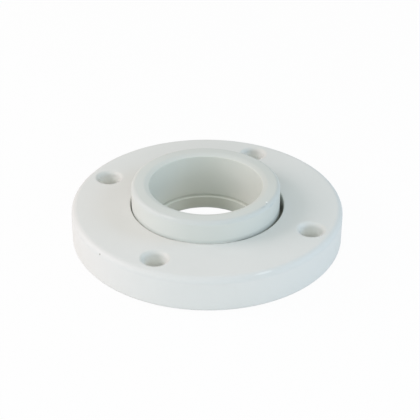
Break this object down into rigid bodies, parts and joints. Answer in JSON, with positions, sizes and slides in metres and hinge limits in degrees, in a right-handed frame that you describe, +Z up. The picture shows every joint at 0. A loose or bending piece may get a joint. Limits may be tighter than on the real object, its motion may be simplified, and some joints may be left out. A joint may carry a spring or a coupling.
{
  "type": "flange adaptor",
  "caption": "Plastic pipe flange adaptor: a socketed stub flange whose collar sits in the recess of a loose round backing ring with bolt holes.",
  "frame": {"origin": "on the backing ring's axis, in the plane of the sealing face that the part rests on", "axes": "+Z up along the pipe, from the sealing face towards the socket's mouth; the first bolt hole lies 64.4 degrees from +X towards +Y"},
  "size_m": [0.215, 0.215, 0.0485],
  "materials": {
    "stub_plastic": "satin off-white moulded plastic",
    "ring_plastic": "satin off-white moulded plastic, a little warmer than the stub"
  },
  "bodies": {
    "stub": {"stub_flange": "stub_plastic"},
    "ring": {"backing_ring": "ring_plastic"}
  },
  "joints": [
    {"name": "ring_swivel", "type": "hinge", "parent": "stub", "child": "ring", "pos_m": [0, 0, 0.0135], "axis": [0, 0, 1], "continuous": true}
  ]
}
